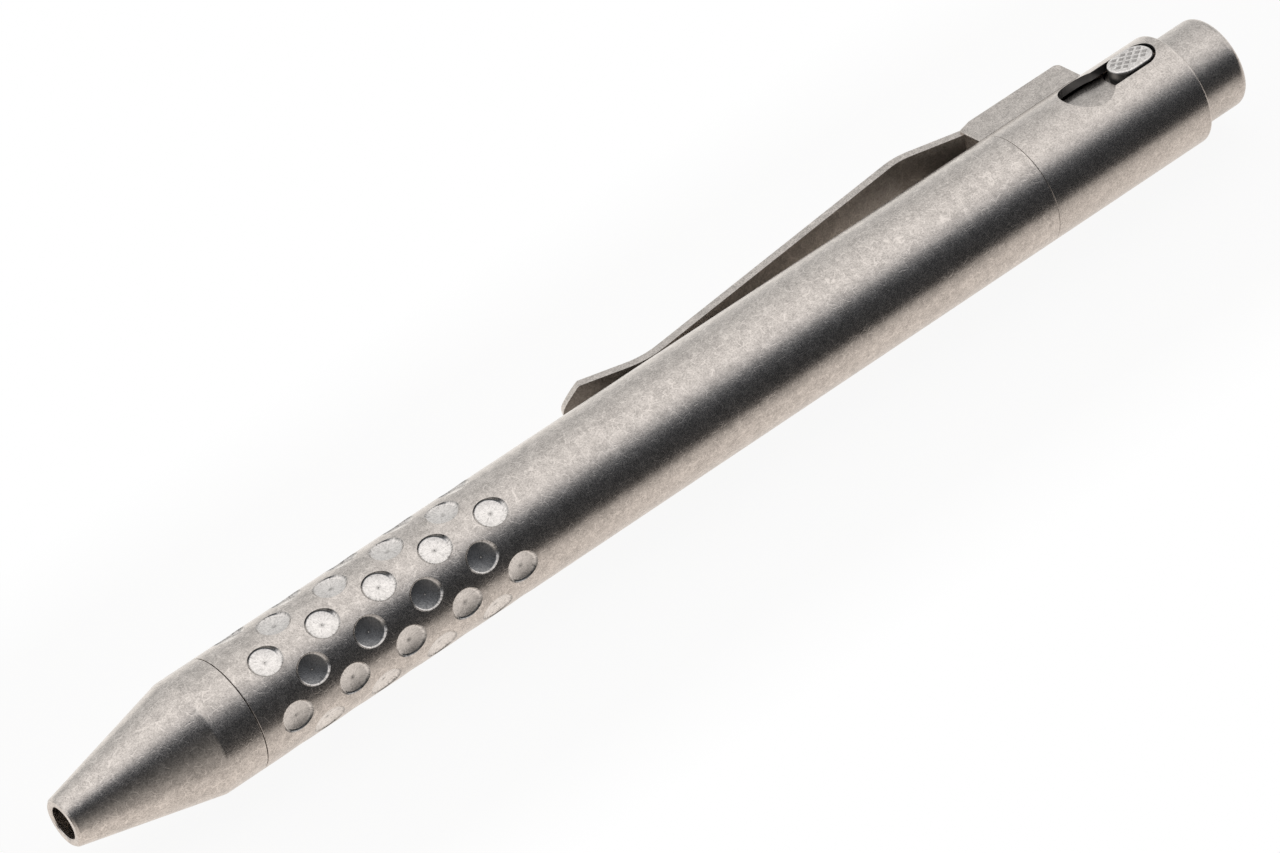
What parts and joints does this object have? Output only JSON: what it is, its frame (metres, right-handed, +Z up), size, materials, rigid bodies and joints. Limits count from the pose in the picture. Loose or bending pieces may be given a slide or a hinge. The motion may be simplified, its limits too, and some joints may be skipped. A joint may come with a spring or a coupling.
{
  "type": "tactical pen",
  "caption": "Slim button-lock click pen turned from metal, with a conical nose, a dimpled grip, a wide milled pocket clip and a knurled lock button in a keyhole slot.",
  "frame": {"origin": "under the middle of the pen's box, on the surface that it lies on", "axes": "+X along the pen from the writing tip to the thumb end; +Z up; the pocket clip lies on the +Y side and touches the surface with one edge of its block"},
  "size_m": [0.1504, 0.0174, 0.0129],
  "materials": {
    "tumbled_metal": "tumbled, fine mottled grain",
    "button_metal": "tumbled, knurled",
    "screw_steel": "black oxide",
    "spring_steel": "bright wire",
    "seal_rubber": "matte",
    "refill_clear": "clear",
    "refill_black": "moulded",
    "point_metal": "turned",
    "ink": "liquid",
    "grease": "clear grease"
  },
  "bodies": {
    "housing": {"nose_cone": "tumbled_metal", "nose_o_ring": "seal_rubber", "barrel": "tumbled_metal", "cap_o_ring": "seal_rubber", "cap_housing": "tumbled_metal", "pocket_clip": "tumbled_metal", "clip_screw_front": "screw_steel", "clip_screw_rear": "screw_steel", "return_spring": "spring_steel"},
    "plunger": {"plunger": "tumbled_metal", "push_rod": "tumbled_metal", "lock_button_spring": "spring_steel"},
    "button": {"lock_button": "button_metal"},
    "refill": {"refill_point": "point_metal", "refill_ball": "spring_steel", "refill_nose": "refill_black", "refill_tube": "refill_clear", "refill_end_plug": "refill_black", "ink_column": "ink", "ink_follower": "grease"}
  },
  "joints": [
    {"name": "plunger_slide", "type": "slide", "parent": "housing", "child": "plunger", "axis": [-1, 0, 0], "range_m": [0, 0.0059], "stiffness_N_per_m": 400, "springref_m": -0.006},
    {"name": "refill_slide", "type": "slide", "parent": "housing", "child": "refill", "axis": [-1, 0, 0], "range_m": [0, 0.0059], "deforming": ["return_spring"]},
    {"name": "lock_button_press", "type": "slide", "parent": "plunger", "child": "button", "axis": [0, -0.1907, -0.9816], "range_m": [0, 0.0008], "stiffness_N_per_m": 200, "springref_m": -0.0015, "deforming": ["lock_button_spring"]}
  ],
  "couplings": [
    {"joint": "refill_slide", "follows": "plunger_slide", "ratio": 1}
  ]
}
